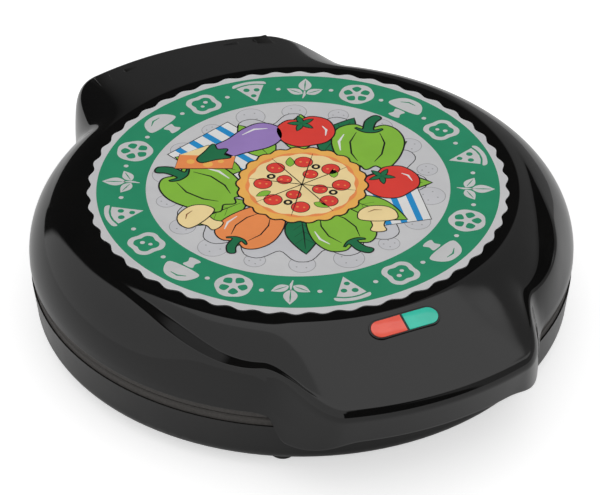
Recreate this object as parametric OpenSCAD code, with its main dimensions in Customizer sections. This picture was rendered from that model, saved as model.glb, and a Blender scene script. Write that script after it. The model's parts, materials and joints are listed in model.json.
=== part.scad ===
// Electric pizza maker: a round countertop cooker with a hinged lid and two heated plates.
// Origin: under the middle of the overall depth, on the plane that the feet stand on.
// Front (the grip and the two lamps) is -Y, the hinge is at +Y, up is +Z. Millimetres.

/* [Body] */
// Width of the rim between the cooking hollow and the lid's lower edge
rim_w = 16; // [15:0.5:20]
// Wall of the two plastic housings
wall = 2.6; // [2:0.1:3.4]
// Height of the base housing from its underside to its rim
base_h = 27.5; // [26:0.5:34]
// Radius that rounds the base wall into its floor
base_round = 8; // [5:0.5:9]
// How far the base wall leans in from its rim to the rounding
base_lean = 2; // [0.5:0.5:3]
// How much smaller than the lid the base rim is, on the radius
base_inset = 0.5; // [0:0.1:1.5]

/* [Lid] */
// Height of the lid from its lower edge to the flat pad
lid_h = 38.9; // [36:0.1:46]
// Width of the shoulder between the flat pad and the lid's lower edge
shoulder_w = 32; // [28:1:36]
// Distance of the pad's centre behind the body's centre
pad_back = 4.5; // [0:0.5:6]
// Height of the upright skirt under the lid's rounded shoulder
skirt_h = 4.5; // [3:0.5:8]
// Share of the shoulder that follows an ellipse, the rest is a chamfer
shoulder_round = 0.9; // [0.7:0.05:1]
// Height of the crease that bounds the raised front tongue
crease_h = 3; // [1:0.5:4]

/* [Front grip] */
// Reach of the grip beyond the round body
grip_reach = 27; // [24:1:32]
// Drop of the tongue from the pad to the grip's front edge
grip_drop = 17.3; // [14:0.1:20]
// Radial depth of the rounded front edge
grip_nose = 4; // [3:0.5:6]
// Height of the rounded front edge
grip_nose_h = 6.2; // [4:0.2:9]
// How far the grip's face leans in towards its lower edge
grip_under = 6; // [3:0.5:7]
// Half angle of the grip where its corners begin
grip_angle = 17; // [14:1:19]
// Angle over which the grip's flanks run into the round body
grip_flare = 16; // [14:1:18]
// Depth of the cheeks beside the grip below the lid's lower edge
cheek_depth = 14.5; // [8:0.5:16]
// How much higher than the cheeks the middle of the grip ends
cheek_rise = 10; // [4:0.5:12]

/* [Rear tab] */
// Reach of the rear tab beyond the round body
tab_reach = 40; // [38:1:44]
// Drop from the pad to the tab's rear edge
tab_drop = 14.5; // [12:0.5:18]
// Radial depth of the tab's rounded edge
tab_nose = 6; // [4:0.5:8]
// Height of the tab's rounded edge
tab_nose_h = 10; // [6:0.5:12]
// How far the tab's face leans in towards its lower edge
tab_under = 1.5; // [0:0.5:4]
// Half angle of the tab where its corners begin
tab_angle = 17; // [15:1:19]
// Angle over which the tab's flanks run into the round body
tab_flare = 20; // [18:1:24]

/* [Cooking plates] */
// Depth of each plate's cooking hollow
cavity_d = 12.5; // [8:0.5:14]
// Radius of the cooking hollow at its mouth, which sets the size of the whole body
cavity_r = 150; // [130:1:170]
// How much the hollow narrows towards its floor, on the radius
cavity_draft = 4; // [2:0.5:8]
// Thickness of the cast floor
plate_t = 3.2; // [2.6:0.1:4]
// Thickness of the flange that shows between the housings
flange_t = 4.6; // [3.6:0.1:6]
// How far the flange's edge stays inside the lid's edge
flange_inset = 1.5; // [1:0.1:2.2]
// Gap between the two flanges when the lid is closed
closing_gap = 0.4; // [0.3:0.1:1]
// Diameter of the screw posts
post_d = 12; // [10:1:14]
// Distance of the posts inside the heating element's loop
post_in = 22; // [18:1:30]

/* [Heating] */
// Diameter of the tubular heating elements
heater_d = 7; // [6:0.2:8]
// Distance of the heating elements' loop inside the hollow's mouth
heater_in = 36; // [32:1:42]
// Half angle of the gap between a heating element's two ends
heater_gap_angle = 7; // [6:0.5:10]
// Thickness of the heat shields
shield_t = 0.8; // [0.6:0.1:1.2]
// Room between each heating element and its shield
shield_room = 0.6; // [0.4:0.1:1.2]
// How far the heat shields reach past the heating elements' loop
shield_out = 13; // [11:0.5:15]
// Diameter of the thermostat
thermostat_d = 16; // [14:1:18]
// Height of the thermostat above its flange
thermostat_h = 8; // [7.5:0.5:10]
// Diameter of the thermal fuse
fuse_d = 4; // [3:0.5:4.5]
// Length of the thermal fuse
fuse_l = 14; // [12:1:18]

/* [Badge] */
// Distance of the badge's scallops inside the pad's edge
badge_in = 6.3; // [4:0.1:14]
// Depth of the scallops
scallop_d = 2.2; // [1:0.1:3]
// Number of scallops
scallops = 50; // [40:1:60]
// Thickness of the badge
badge_t = 1; // [0.6:0.1:1.5]

/* [Lamps] */
// Length of the lamp window
lamp_l = 44; // [38:1:50]
// Width of the lamp window
lamp_w = 14; // [12:0.5:15]
// Distance of the window's centre outside the pad's edge
lamp_out = 6; // [5:0.5:14]
// Wall of the window's frame
bezel_wall = 1.2; // [1:0.1:1.6]
// Depth of the window's frame
bezel_h = 8; // [6:0.5:9]
// Thickness of the two lenses
lens_t = 3; // [2:0.5:4]
// How far the lenses and their frame stand proud of the lid
lens_proud = 0.7; // [0.4:0.1:1.2]
// Diameter of the two lamps
bulb_d = 5; // [4:0.5:6]
// Length of the two lamps
bulb_l = 10.5; // [9:0.5:12]

/* [Hinge] */
// Distance of the hinge axis behind the round body
hinge_out = 15; // [14:0.5:18]
// Height of the hinge axis above the closing plane
hinge_up = 2; // [1:0.5:4]
// Radius of the hinge eyes
eye_r = 8; // [7:0.5:8.5]
// Width of each hinge eye
eye_w = 10; // [8:0.5:11]
// Distance of each hinge's middle from the centre line
hinge_x = 46; // [40:1:50]
// Diameter of the hinge pins
pin_d = 6; // [5:0.5:7]
// Clearance of the pins in their eyes, on the radius
pin_fit = 0.05; // [0.02:0.01:0.1]

/* [Fasteners and feet] */
// Diameter of the plate screws
screw_d = 4; // [3:0.5:5]
// Diameter of the plate screws' heads
screw_head_d = 8; // [7:0.5:9]
// Height of the plate screws' heads
screw_head_h = 2.8; // [2:0.2:3.4]
// Depth of the recesses that hide the plate screws
recess_d = 4; // [3.6:0.2:5]
// Diameter of the bracket screws
small_screw_d = 3; // [2.5:0.5:3.5]
// Diameter of the rubber feet
foot_d = 16; // [12:1:17]
// Height of the rubber feet
foot_h = 6; // [4:0.5:10]
// Distance of the feet inside the round body's edge
foot_in = 19; // [19:1:31]
// Angle of the feet from the front and rear directions
foot_angle = 29; // [20:1:40]

/* [Mains inlet] */
// Bore of the cord gland
gland_bore = 7; // [6:0.5:8]
// Diameter of the gland's body in the base wall
gland_d = 11; // [10:0.5:12]
// Height of the gland's centre above the base's underside
gland_up = 15; // [14.5:0.5:16]
// Length of the terminal block
block_l = 32; // [30:1:40]
// Width of the terminal block
block_w = 15; // [12:1:16]
// Height of the terminal block
block_h = 9.5; // [7.5:0.5:9.5]
// Distance of the terminal block's middle inside the round body's edge
block_in = 22; // [19:0.5:23]

/* [Hidden] */
$fn = 96;

plastic = [0.05, 0.05, 0.05];
coating = [0.16, 0.16, 0.16];
metal = [0.72, 0.72, 0.74];
rubber = [0.1, 0.1, 0.1];
small_fn = 32;
fit = 0.1;         // clearance around pieces that sit in a hole of their own body
eps = 0.01;        // overlap that makes two solids of one node join
over = 1;          // how far a cutter runs past the face it opens

// The body's centre lies in front of the origin by half of what the tab reaches further than the grip
body_y = (grip_reach - tab_reach) / 2;
module framed() {
    translate([0, body_y, 0]) children();
}

// Levels, from the table up
z_floor = foot_h;
z_rim = z_floor + base_h;
z_close = z_rim + flange_t;                  // top of the lower plate
z_open = z_close + closing_gap;              // underside of the upper plate
z_skirt = z_open + flange_t;                 // lower edge of the lid
z_pad = z_skirt + lid_h;
z_axis = z_close + hinge_up;
plate_back = cavity_d + plate_t;             // closing face to the plate's back
post_h = heater_d + fit + shield_room;       // screw posts on each plate's back, which carry the shields
z_low_post = z_close - plate_back - post_h;
z_up_post = z_open + plate_back + post_h;
z_low_heater = z_close - plate_back - heater_d / 2 - fit;
z_up_heater = z_open + plate_back + heater_d / 2 + fit;

// Radii and distances from the body's centre
body_r = cavity_r + rim_w;                   // lower edge of the lid
base_r = body_r - base_inset;
flange_r = body_r - flange_inset;
pad_r = body_r - shoulder_w;
badge_r = pad_r - badge_in;
lamp_r = pad_r + lamp_out;
heater_r = cavity_r - heater_in;
shield_r = heater_r + shield_out;
post_r = heater_r - post_in;
foot_r = body_r - foot_in;
block_y = body_r - block_in;
hinge_y = body_r + hinge_out;
post_angles = [45, 135, 225, 315];
head_gap = 0.4;                              // room around a screw's head
end_gap = 0.5;                               // room past a screw's tip
shank_gap = 0.2;                             // room around a screw's shank where it only passes

// A smooth step from 0 at a to 1 at b
function ease(a, b, t) = let (u = min(max((t - a) / (b - a), 0), 1)) u * u * (3 - 2 * u);
function mix(p, q, w) = p * (1 - w) + q * w;

// ---- Lid surface ----------------------------------------------------------------------------
// The outer surface is a loft of rows k = 0 (edge of the flat pad) to 8 (lower edge of the lid),
// at angles a measured from the front. It blends three profiles: the round body's shoulder,
// the front grip and the rear tab.
rows = 8;                                    // the lower edge's row
shoulder_rows = 7;
tongue_rows = 3;                             // rows on the straight slope of the grip and the tab
nose_rows = 2;                               // rows on their rounded edge
z_shoulder = z_skirt + skirt_h;
cheek_from = 28;                             // angles that bound the cheeks beside the grip
cheek_to = 31.5;
cheek_in = 14;

function z_edge(a) = z_skirt - cheek_depth * (1 - ease(cheek_from, cheek_to, a))
    + cheek_rise * (1 - ease(cheek_in, cheek_from - 1, a));
function side_pt(k, a) = k <= shoulder_rows
    ? let (u = k / shoulder_rows, q = shoulder_round)
        [pad_r + (body_r - pad_r) * (q * sin(90 * u) + (1 - q) * u),
         z_shoulder + (z_pad - z_shoulder) * (q * cos(90 * u) + (1 - q) * (1 - u))]
    : [body_r, mix(z_shoulder, z_edge(a), k - shoulder_rows)];
function reach_pt(k, a, reach, drop, nose, nose_h, under) =
    let (r = body_r + reach, z = z_pad - drop, last = tongue_rows + nose_rows)
    k <= tongue_rows ? mix([pad_r, z_pad], [r - nose, z], k / tongue_rows)
    : k <= last ? let (u = 90 * (k - tongue_rows) / nose_rows)
        [r - nose + nose * sin(u), z - nose_h * (1 - cos(u))]
    : mix([r, z - nose_h], [r - under, z_edge(a)], (k - last) / (rows - last));
// The lower rows flare a little later than the upper ones, so that the cheeks bulge
function grip_w(k, a) = mix(1 - ease(grip_angle, grip_angle + grip_flare, a),
    1 - ease(grip_angle + 1, grip_angle + grip_flare + 2, a), max(0, k - 5) / 3);
function tab_w(a) = 1 - ease(tab_angle, tab_angle + tab_flare, 180 - a);
function skin(k, a) = let (g = grip_w(k, a), t = tab_w(a))
    side_pt(k, a) * (1 - g - t)
    + reach_pt(k, a, grip_reach, grip_drop, grip_nose, grip_nose_h, grip_under) * g
    + reach_pt(k, a, tab_reach, tab_drop, tab_nose, tab_nose_h, tab_under) * t;

// The crease leaves the grip's corner, runs round the lid's front quarter and fades out:
// its row at some angles, from the grip's corner past the waist to where it ends
crease_end = 66;
crease_fade = 14;                            // angle over which it rises and fades out
crease_row = [[grip_angle, tongue_rows], [32, tongue_rows], [43.5, 3.4], [50, 1.9], [58, 1.2]];
crease_half = 0.25;
function crease_step(a) = crease_h * ease(grip_angle, grip_angle + crease_fade / 3, a)
    * (1 - ease(crease_end - crease_fade, crease_end, a));
function row_list(a) = let (c = lookup(a, crease_row))
    [0, c / 2, c - crease_half, c + crease_half, 4.3, 5, 6, 7, 8];
function lift(i, a) = crease_step(a) * [0, 0.6, 1, 0, 0, 0, 0, 0, 0][i];
function row_pt(i, a) = let (p = skin(row_list(a)[i], a)) [p[0], p[1] + lift(i, a)];

// The same row moved inwards, square to the profile
function inset_pt(i, a, inset) = let (
        p = row_pt(i, a),
        d = row_pt(min(i + 1, rows), a) - row_pt(max(i - 1, 0), a),
        n = [-d[1], d[0]] / norm(d))
    i == 0 ? [p[0] - inset / 2, p[1] - inset]
    : i == rows ? [p[0] - inset, p[1]]
    : p - inset * n;
function place(i, a, side, inset) = let (
        p = inset_pt(i, a, inset),
        shift = pad_back * max(0, 1 - row_list(a)[i] / tongue_rows))
    [side * p[0] * sin(a), shift - p[0] * cos(a), p[1]];

half_angles = concat([for (a = [0:6:12]) a], [for (a = [17:3:38]) a], [for (a = [42:4:58]) a],
    [for (a = [66:12:138]) a], [for (a = [143:4:163]) a], [170]);
stations = concat([for (a = half_angles) [a, 1]], [[180, 1]],
    [for (j = [len(half_angles) - 1:-1:1]) [half_angles[j], -1]]);
n_st = len(stations);
n_ring = rows + 1;
function ring_points(inset) = [for (i = [0:rows]) for (s = stations) place(i, s[0], s[1], inset)];
function quad(a, b, c, d) = [[a, b, c], [a, c, d]];
// Two triangles between rings i and i + 1 of a point list that starts at index base
function band(base, i, j, flip) = let (j2 = (j + 1) % n_st, p = base + i * n_st, q = p + n_st)
    flip ? quad(p + j, p + j2, q + j2, q + j) : quad(p + j, q + j, q + j2, p + j2);

module lid_skin(thickness) {
    inner = n_ring * n_st;
    polyhedron(points = concat(ring_points(0), ring_points(thickness)), faces = concat(
        [[for (j = [n_st - 1:-1:0]) j]],
        [[for (j = [0:n_st - 1]) inner + j]],
        [for (i = [0:rows - 1]) for (j = [0:n_st - 1]) each band(0, i, j, true)],
        [for (i = [0:rows - 1]) for (j = [0:n_st - 1]) each band(inner, i, j, false)],
        [for (j = [0:n_st - 1]) let (j2 = (j + 1) % n_st, p = rows * n_st)
            each quad(p + j, p + j2, inner + p + j2, inner + p + j)]));
}
module lid_envelope(inset) {
    hub = n_ring * n_st;
    polyhedron(points = concat(ring_points(inset), [[0, 0, z_floor]]), faces = concat(
        [[for (j = [n_st - 1:-1:0]) j]],
        [for (i = [0:rows - 1]) for (j = [0:n_st - 1]) each band(0, i, j, true)],
        [for (j = [0:n_st - 1]) [rows * n_st + j, rows * n_st + (j + 1) % n_st, hub]]));
}

// ---- Shared shapes --------------------------------------------------------------------------
module at_posts() {
    for (a = post_angles) rotate([0, 0, a]) translate([post_r, 0, 0]) children();
}
module slot_2d(length, width) {
    square([length - width, width], center = true);
    for (s = [-1, 1]) translate([s * (length - width) / 2, 0]) circle(d = width, $fn = small_fn);
}
module along_x(x0, x1, y, z, d, fn = small_fn) {
    translate([x0, y, z]) rotate([0, 90, 0]) cylinder(d = d, h = x1 - x0, $fn = fn);
}
// A pan-head screw: the head's seat is at z = 0 and the shank runs up
module screw(d, head_d, head_h, length) {
    slot_w = head_d / 7;
    slot_l = 0.6 * head_d;
    difference() {
        union() {
            translate([0, 0, -head_h]) cylinder(d = head_d, h = head_h, $fn = small_fn);
            cylinder(d = d, h = length, $fn = small_fn);
        }
        for (a = [0, 90]) rotate([0, 0, a]) translate([0, 0, -head_h])
            cube([slot_l, slot_w, head_h], center = true);
    }
}
// An insulated lead through a list of points, a little thicker where it bends
lead_bead = 1.15;
module lead(points, d) {
    for (i = [0:len(points) - 2]) {
        v = points[i + 1] - points[i];
        translate(points[i]) rotate([0, acos(v[2] / norm(v)), atan2(v[1], v[0])])
            cylinder(d = d, h = norm(v), $fn = 16);
        if (i > 0) {
            u = points[i] - points[i - 1];
            w = u / norm(u) - v / norm(v);
            translate(points[i]) rotate([0, 0, atan2(w[1], w[0])]) sphere(d = d * lead_bead, $fn = 16);
        }
    }
}

// A cast plate, cooking side up, with its closing face at z = 0
back_r = cavity_r - cavity_draft + plate_t;
groove_w = 3;                                // width of the ribs beside the heating element
floor_break = 2;                             // chamfer between the hollow's floor and its wall
lip_break = 1;                               // chamfer at the hollow's mouth
edge_break = 0.8;                            // chamfer on the flange's outer edge
module cast_plate() {
    difference() {
        union() {
            rotate_extrude($fn = 180) polygon([
                [0, -cavity_d], [cavity_r - cavity_draft - floor_break, -cavity_d],
                [cavity_r - cavity_draft, -cavity_d + floor_break], [cavity_r - lip_break, -lip_break],
                [cavity_r, 0], [flange_r - edge_break, 0], [flange_r, -edge_break],
                [flange_r, -flange_t], [cavity_r + plate_t, -flange_t],
                [back_r, -plate_back], [0, -plate_back]]);
            at_posts() translate([0, 0, -plate_back - post_h])
                cylinder(d = post_d, h = post_h + eps, $fn = small_fn);
            for (r = [heater_r - heater_d / 2 - fit - groove_w, heater_r + heater_d / 2 + fit])
                translate([0, 0, -plate_back - heater_d / 2]) difference() {
                    cylinder(r = r + groove_w, h = heater_d / 2 + eps);
                    translate([0, 0, -over]) cylinder(r = r, h = heater_d + over * 2);
                    // The ribs stop where the element's ends turn away from the plate
                    translate([0, heater_r, 0])
                        cube([rib_gap, heater_d * 4, heater_d * 4], center = true);
                }
        }
        at_posts() translate([0, 0, -plate_back - post_h - over])
            cylinder(r = screw_d / 2 + pin_fit, h = post_h + over, $fn = small_fn);
    }
}
rib_gap = 2 * heater_r * sin(heater_gap_angle) + heater_d * 2;

// A tubular element under the plate, with both ends turned down through the shield
terminal_d = 3;
terminal_l = 3.5;
elbow_drop = heater_d / 2 + shield_room + shield_t + fit;    // the collars reach just past the shield
collar_d = heater_d + 1;                     // collar where each end turns down
collar_in = 0.3;                             // how far the collar stays under the plate
shield_hole = 1.5;                           // room around what passes through a shield
module heating_element() {
    rotate([0, 0, 90 + heater_gap_angle]) rotate_extrude(angle = 360 - 2 * heater_gap_angle)
        translate([heater_r, 0]) circle(d = heater_d, $fn = small_fn);
    for (s = [-1, 1]) rotate([0, 0, 90 + s * heater_gap_angle]) translate([heater_r, 0, 0]) {
        translate([0, 0, -elbow_drop])
            cylinder(d = collar_d, h = elbow_drop + heater_d / 2 - collar_in, $fn = small_fn);
        translate([0, 0, -elbow_drop - terminal_l])
            cylinder(d = terminal_d, h = terminal_l + eps, $fn = small_fn);
    }
}
// A pressed shield: a disc with its rim turned towards the plate
shield_rim_h = 4;
module heat_shield() {
    difference() {
        union() {
            translate([0, 0, -shield_t]) cylinder(r = shield_r, h = shield_t);
            translate([0, 0, -eps]) difference() {
                cylinder(r = shield_r, h = shield_rim_h);
                translate([0, 0, -over]) cylinder(r = shield_r - shield_t, h = shield_rim_h + 2 * over);
            }
        }
        at_posts() translate([0, 0, -shield_t - over])
            cylinder(d = screw_d + 2 * shank_gap, h = shield_t + 2 * over, $fn = small_fn);
        for (s = [-1, 1]) rotate([0, 0, 90 + s * heater_gap_angle])
            translate([heater_r, 0, -shield_t - over])
                cylinder(d = heater_d + 2 * shield_hole, h = shield_t + 2 * over, $fn = small_fn);
        children();
    }
}
module flip_up(z) {
    translate([0, 0, z]) mirror([0, 0, 1]) children();
}

// ---- Base -----------------------------------------------------------------------------------
wall_low_r = base_r - base_lean;
// Radius of the base wall's outer face at a height above the base's underside
function wall_at(h) = wall_low_r + base_lean * (h - base_round) / (base_h - base_round);
hinge_root_up = 4;                           // height above the rounding where the hinge lugs begin
hinge_root_z = z_floor + base_round + hinge_root_up;
seat_clear = 0.7;                            // hinge lugs stay this far outside the flanges
vent_count = 20;
vent_l = 22;
vent_w = 3;
vent_r = 62;

module base_wall_profile() {
    r = base_round;
    difference() {
        union() {
            polygon([[0, z_floor], [wall_low_r - r, z_floor], [wall_low_r, z_floor + r],
                [base_r, z_rim], [0, z_rim]]);
            translate([wall_low_r - r, z_floor + r]) circle(r = r, $fn = 64);
        }
        inner = max(r - wall, 1);
        polygon([[-over, z_floor + wall], [wall_low_r - wall - inner, z_floor + wall],
            [wall_low_r - wall, z_floor + wall + inner], [base_r - wall, z_rim + over],
            [-over, z_rim + over]]);
        translate([-over - body_r, z_floor - over]) square([body_r + over, base_h + 2 * over]);
    }
}
module hinge_lug() {
    // Outline of a lug seen from the side, with its eye round the hinge axis
    from_y = sqrt(pow(wall_low_r - wall / 2, 2) - pow(hinge_x + eye_w / 2, 2)) - over;
    translate([-eye_w / 2, 0, 0]) rotate([90, 0, 90]) linear_extrude(eye_w) union() {
        translate([hinge_y, z_axis]) circle(r = eye_r, $fn = 64);
        polygon([[from_y, hinge_root_z], [wall_low_r + over, hinge_root_z],
            [hinge_y, z_axis - eye_r + eps], [hinge_y, z_axis + eye_r - eps],
            [hinge_y - eye_r / 2, z_axis + eye_r * cos(30) - eps], [base_r + over, z_axis],
            [from_y, z_axis]]);
    }
}
module base_shell() {
    color(plastic) difference() {
        union() {
            rotate_extrude($fn = 180) base_wall_profile();
            // Bosses that the lower plate's posts stand on
            at_posts() translate([0, 0, z_floor])
                cylinder(d = post_d, h = z_low_post - shield_t - z_floor, $fn = small_fn);
            difference() {
                for (s = [-1, 1]) translate([s * hinge_x, 0, 0]) hinge_lug();
                translate([0, 0, z_rim]) cylinder(r = flange_r + seat_clear, h = body_r, $fn = 180);
                translate([0, 0, z_floor])
                    cylinder(r = wall_low_r - wall / 2, h = base_h + over, $fn = 180);
            }
            // Seat of the terminal block
            translate([-block_l / 2, block_y - block_w / 2, z_floor + wall - eps])
                cube([block_l, block_w, z_block - z_floor - wall + eps]);
        }
        at_posts() translate([0, 0, z_floor - over]) {
            cylinder(d = screw_head_d + 2 * head_gap, h = recess_d + over, $fn = small_fn);
            cylinder(d = screw_d + 2 * shank_gap, h = z_rim, $fn = small_fn);
        }
        along_x(-body_r, body_r, hinge_y, z_axis, pin_d + 2 * pin_fit);
        for (i = [0:vent_count - 1]) rotate([0, 0, i * 360 / vent_count])
            translate([vent_r, 0, z_floor]) linear_extrude(4 * wall, center = true)
                slot_2d(vent_l, vent_w);
        at_feet() cylinder(d = plug_d + 2 * fit, h = z_rim, $fn = small_fn);
        translate([0, block_y, z_floor + gland_up]) rotate([-90, 0, 0])
            cylinder(d = gland_d + 2 * fit, h = body_r, $fn = small_fn);
    }
}

module at_feet() {
    for (a = [foot_angle, 180 - foot_angle, 180 + foot_angle, -foot_angle])
        rotate([0, 0, a]) translate([0, -foot_r, 0]) children();
}
plug_d = 6;
barb_d = 8;
barb_h = 1.6;
foot_break = 0.9;                            // chamfer on the feet's lower edge
foot_taper = 0.3;
module feet() {
    color(rubber) at_feet() rotate_extrude($fn = 48) polygon([
        [0, 0], [foot_d / 2 - foot_taper - foot_break, 0], [foot_d / 2 - foot_taper, foot_break],
        [foot_d / 2, foot_h],
        [plug_d / 2, foot_h], [plug_d / 2, z_floor + wall], [barb_d / 2, z_floor + wall],
        [plug_d / 2, z_floor + wall + barb_h], [0, z_floor + wall + barb_h]]);
}
module lower_plate() {
    color(coating) translate([0, 0, z_close]) cast_plate();
}
module lower_heater() {
    color(metal) translate([0, 0, z_low_heater]) heating_element();
}
module lower_heat_shield() {
    color(metal) translate([0, 0, z_low_post]) heat_shield();
}
module lower_plate_screws() {
    seat = z_floor + recess_d;
    color(metal) at_posts() translate([0, 0, seat])
        screw(screw_d, screw_head_d, screw_head_h, z_low_post + post_h - end_gap - seat);
}
gland_collar = 2;                            // collars of the gland, wider than its body
gland_collar_t = 2.5;
module cord_gland() {
    // The wall leans and is curved, so each collar touches it along one edge only
    outer_collar = gland_d / 2 + gland_collar;
    inner_collar = gland_d / 2 + gland_collar / 2;
    outside = wall_at(gland_up + outer_collar) + fit;
    inside = sqrt(pow(wall_at(gland_up - inner_collar) - wall, 2) - pow(inner_collar, 2)) - fit;
    color(rubber) translate([0, 0, z_floor + gland_up]) rotate([-90, 0, 0]) difference() {
        union() {
            translate([0, 0, inside - eps])
                cylinder(d = gland_d, h = outside - inside + 2 * eps, $fn = small_fn);
            translate([0, 0, outside]) cylinder(r = outer_collar, h = gland_collar_t, $fn = small_fn);
            translate([0, 0, inside - gland_collar_t])
                cylinder(r = inner_collar, h = gland_collar_t, $fn = small_fn);
        }
        translate([0, 0, inside - gland_collar_t - over])
            cylinder(d = gland_bore, h = outside - inside + 2 * (gland_collar_t + over), $fn = small_fn);
    }
}
block_poles = [-1, 0, 1];
pole_pitch = 10;
entry_d = 3.2;
pole_screw_d = entry_d - 2 * fit;
pole_head_h = 1.4;
block_room = 0.8;                            // room between the pole screws and the plate's back
z_block = z_close - plate_back - block_room - pole_head_h - fit - block_h;
module terminal_block() {
    color("ivory") difference() {
        translate([-block_l / 2, block_y - block_w / 2, z_block]) cube([block_l, block_w, block_h]);
        for (i = block_poles) translate([i * pole_pitch, block_y, z_block]) {
            translate([0, 0, block_h / 2]) cylinder(d = entry_d, h = block_h, $fn = small_fn);
            translate([0, 0, block_h / 2]) rotate([90, 0, 0])
                cylinder(d = entry_d, h = 2 * block_w, center = true, $fn = small_fn);
        }
    }
}
module terminal_screws() {
    color(metal) for (i = block_poles)
        translate([i * pole_pitch, block_y, z_block + block_h + fit]) mirror([0, 0, 1])
            screw(pole_screw_d, 1.5 * pole_screw_d, pole_head_h, block_h / 2 - end_gap);
}
lead_d = 2.4;
lead_gap = 0.2;                              // a lead ends this far from what it serves
lead_start = 3.5;                            // straight start of a lead at the terminal block
lead_end = 5;                                // straight end of a lead at a heating element
heater_end = [heater_r * sin(heater_gap_angle), heater_r * cos(heater_gap_angle)];
module base_leads() {
    // From the block's outer poles, under the shield's edge, to the lower element's two ends
    z_end = z_low_heater - elbow_drop - terminal_l / 2;
    y_block = block_y - block_w / 2 - lead_gap;
    z_pole = z_block + block_h / 2;
    color("firebrick") for (s = [-1, 1]) lead([
        [s * pole_pitch, y_block, z_pole], [s * pole_pitch, y_block - lead_start, z_pole],
        [s * pole_pitch, shield_r + lead_d, z_end],
        [s * heater_end[0], heater_end[1] + lead_end, z_end],
        [s * heater_end[0], heater_end[1] + terminal_d / 2 + lead_gap, z_end]], lead_d);
}
side_play = 0.4;                             // gap between neighbouring hinge eyes
pin_head_d = 9;
pin_head_t = 2;
module hinge_pins() {
    reach = 1.5 * eye_w + side_play;
    color(metal) for (s = [-1, 1]) mirror([s < 0 ? 1 : 0, 0, 0]) {
        along_x(hinge_x - reach, hinge_x + reach + side_play + eps, hinge_y, z_axis, pin_d);
        along_x(hinge_x + reach + side_play, hinge_x + reach + side_play + pin_head_t,
            hinge_y, z_axis, pin_head_d);
    }
}

// ---- Lid ------------------------------------------------------------------------------------
// The lamp window lies square to the tongue's slope
tongue_from = pad_r - pad_back;
tongue_to = body_r + grip_reach - grip_nose;
tongue_tilt = atan(grip_drop / (tongue_to - tongue_from));
module at_lamps() {
    translate([0, -lamp_r, z_pad - (lamp_r - tongue_from) * tan(tongue_tilt)])
        rotate([tongue_tilt, 0, 0]) children();
}
inner_skin = 1.2;                            // how far inside the surface the inner walls end
liner_in = 0.4;                              // how far the liner's faces lie inside those of the skirt
liner_short = [0.5, 1];                      // angles by which its arcs stop short of the flanks' ends
liner_up = 0.3;                              // height of its lower edge above the skirt's
module at_lid_eyes() {
    for (s = [-1, 1]) for (t = [-1, 1])
        translate([s * hinge_x + t * (eye_w + side_play) - eye_w / 2, 0, 0]) children();
}
module lid_eye() {
    along_x(0, eye_w, hinge_y, z_axis, 2 * eye_r, 64);
    translate([0, hinge_y - eye_r, z_axis]) cube([eye_w, 2 * eye_r, eye_web + over]);
}
// The web over an eye runs up to the tab, and the lid's envelope trims it there
module lid_eye_web() {
    translate([0, hinge_y - eye_r, z_axis + eye_web]) cube([eye_w, 2 * eye_r, z_pad - z_axis]);
}
eye_web = 12;                                // height of the web that is clear of the lid's skin
module liner() {
    // Round wall behind the grip and in front of the hinge, which closes the heated space
    for (a = [[270, grip_angle + grip_flare - liner_short[0]],
            [90, tab_angle + tab_flare - liner_short[1]]])
        rotate([0, 0, a[0] - a[1]]) rotate_extrude(angle = 2 * a[1], $fn = 180)
            translate([body_r - wall + liner_in, z_skirt + liner_up])
                square([wall - 2 * liner_in, z_pad - z_skirt]);
}
module lid_shell() {
    color(plastic) difference() {
        union() {
            lid_skin(wall);
            intersection() {
                lid_envelope(inner_skin);
                union() {
                    liner();
                    at_lid_eyes() lid_eye_web();
                }
            }
            at_lid_eyes() lid_eye();
            at_posts() translate([0, 0, z_up_post + shield_t])
                cylinder(d = post_d, h = z_pad - wall / 2 - z_up_post - shield_t, $fn = small_fn);
        }
        at_posts() translate([0, 0, z_pad - recess_d])
            cylinder(d = screw_head_d + 2 * head_gap, h = recess_d + over, $fn = small_fn);
        at_posts() translate([0, 0, z_open])
            cylinder(d = screw_d + 2 * shank_gap, h = z_pad - z_open, $fn = small_fn);
        along_x(-body_r, body_r, hinge_y, z_axis, pin_d + 2 * pin_fit);
        at_lamps() linear_extrude(6 * wall, center = true)
            slot_2d(lamp_l + 2 * fit, lamp_w + 2 * fit);
    }
}
points_per_scallop = 6;
module badge_disc() {
    n = scallops * points_per_scallop;
    color("seagreen") translate([0, pad_back, z_pad]) linear_extrude(badge_t) polygon([
        for (i = [0:n - 1]) let (a = 360 * i / n, r = badge_r - scallop_d / 2 * (1 - cos(scallops * a)))
            r * [cos(a), sin(a)]]);
}
module window_half(side, gap) {
    // Half of the lamp window inside its frame, on one side of the divider
    intersection() {
        slot_2d(lamp_l - 2 * bezel_wall - 2 * gap, lamp_w - 2 * bezel_wall - 2 * gap);
        translate([side > 0 ? bezel_wall / 2 + gap : -lamp_l, -lamp_w])
            square([lamp_l - bezel_wall / 2 - gap, 2 * lamp_w]);
    }
}
ledge = 0.8;                                 // ledge in the frame that the lenses rest on
lens_step = 0.3;                             // step from the frame up to the lenses
bezel_back = lens_proud - lens_step - bezel_h;
lens_back = lens_proud - lens_t;
module lamp_bezel() {
    color(plastic) at_lamps() difference() {
        translate([0, 0, bezel_back]) linear_extrude(bezel_h) slot_2d(lamp_l, lamp_w);
        for (s = [-1, 1]) {
            translate([0, 0, bezel_back - over]) linear_extrude(bezel_h + 2 * over)
                window_half(s, ledge);
            translate([0, 0, lens_back]) linear_extrude(lens_t + over) window_half(s, 0);
        }
    }
}
module lens(side) {
    at_lamps() translate([0, 0, lens_back]) linear_extrude(lens_t) window_half(side, fit);
}
module power_lens() {
    color("tomato") lens(-1);
}
module ready_lens() {
    color("mediumseagreen") lens(1);
}
bulb_x = lamp_l / 4 - 1;                     // distance of each lamp from the window's middle
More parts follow.
